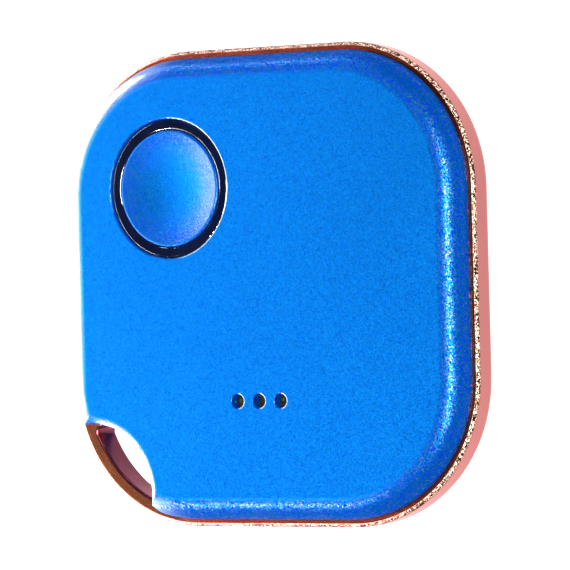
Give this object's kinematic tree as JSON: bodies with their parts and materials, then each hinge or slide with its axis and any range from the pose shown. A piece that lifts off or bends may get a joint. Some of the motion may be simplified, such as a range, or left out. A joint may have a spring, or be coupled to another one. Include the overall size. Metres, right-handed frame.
{
  "type": "bluetooth tracker tag",
  "caption": "Thin square key-finder tag with rounded corners, a metal frame, a press button in a light ring, a row of sound holes and a corner slot for a key ring.",
  "frame": {"origin": "middle of the underside, at the base of the bounding box", "axes": "+Z out of the front cover, +Y towards the edge above the button, +X to the right as the front is read"},
  "size_m": [0.036, 0.036, 0.006],
  "materials": {
    "front_lacquer": "moulded shell under metallic-flake blue lacquer and clear coat",
    "rear_lacquer": "moulded shell under the same lacquer",
    "button_lacquer": "moulded cap under the same lacquer",
    "frame_metal": "rose-gold anodised, fine satin with bright cut rims",
    "ring_tint": "dark tinted clear plastic, polished",
    "dome_steel": "stamped stainless spring sheet",
    "film_amber": "thin polyimide film",
    "lamp_resin": "small surface-mount lamps",
    "board_mask": "glass-fibre board with solder mask",
    "tray_plastic": "moulded black plastic",
    "contact_plating": "nickel-plated spring strip",
    "screw_steel": "zinc-plated",
    "lock_screw_steel": "bright nickel-plated",
    "gasket_foam": "closed-cell foam ring",
    "disc_brass": "rolled brass",
    "disc_ceramic": "silvered ceramic layer",
    "solder": "soldered spring legs",
    "mesh_cloth": "woven acoustic cloth",
    "cell_steel": "nickel-plated drawn steel",
    "cell_seal": "polypropylene seal",
    "cathode_pellet": "pressed black powder",
    "separator_felt": "thin felt",
    "anode_lithium": "soft grey metal",
    "chip_epoxy": "moulded epoxy",
    "antenna_ceramic": "white ceramic",
    "crystal_lid": "seam-welded lid",
    "capacitor_ceramic": "fired ceramic",
    "resistor_ceramic": "glazed ceramic"
  },
  "bodies": {
    "casing": {"front_cover": "front_lacquer", "frame": "frame_metal", "light_ring": "ring_tint", "snap_dome": "dome_steel", "dome_film": "film_amber", "status_lamps": "lamp_resin", "circuit_board": "board_mask", "battery_tray": "tray_plastic", "positive_contact": "contact_plating", "negative_contact": "contact_plating", "tray_screws": "screw_steel", "buzzer_gasket": "gasket_foam", "buzzer_disc": "disc_brass", "buzzer_ceramic": "disc_ceramic", "buzzer_contacts": "solder", "sound_mesh": "mesh_cloth", "cell_can": "cell_steel", "cell_cap": "cell_steel", "cell_gasket": "cell_seal", "cell_cathode": "cathode_pellet", "cell_separator": "separator_felt", "cell_anode": "anode_lithium", "bluetooth_chip": "chip_epoxy", "chip_antenna": "antenna_ceramic", "crystals": "crystal_lid", "capacitors": "capacitor_ceramic", "resistors": "resistor_ceramic"},
    "button": {"button_cap": "button_lacquer"},
    "back": {"rear_cover": "rear_lacquer"},
    "lock": {"cover_screw": "lock_screw_steel"}
  },
  "joints": [
    {"name": "button_press", "type": "slide", "parent": "casing", "child": "button", "axis": [0, 0, -1], "range_m": [0, 0.0002], "stiffness_N_per_m": 1500, "deforming": ["snap_dome", "dome_film"]},
    {"name": "rear_cover_lift", "type": "slide", "parent": "casing", "child": "back", "axis": [0, 0, -1], "range_m": [0, 0.012]},
    {"name": "cover_screw_out", "type": "slide", "parent": "back", "child": "lock", "axis": [0, 0, -1], "range_m": [0, 0.004]}
  ]
}
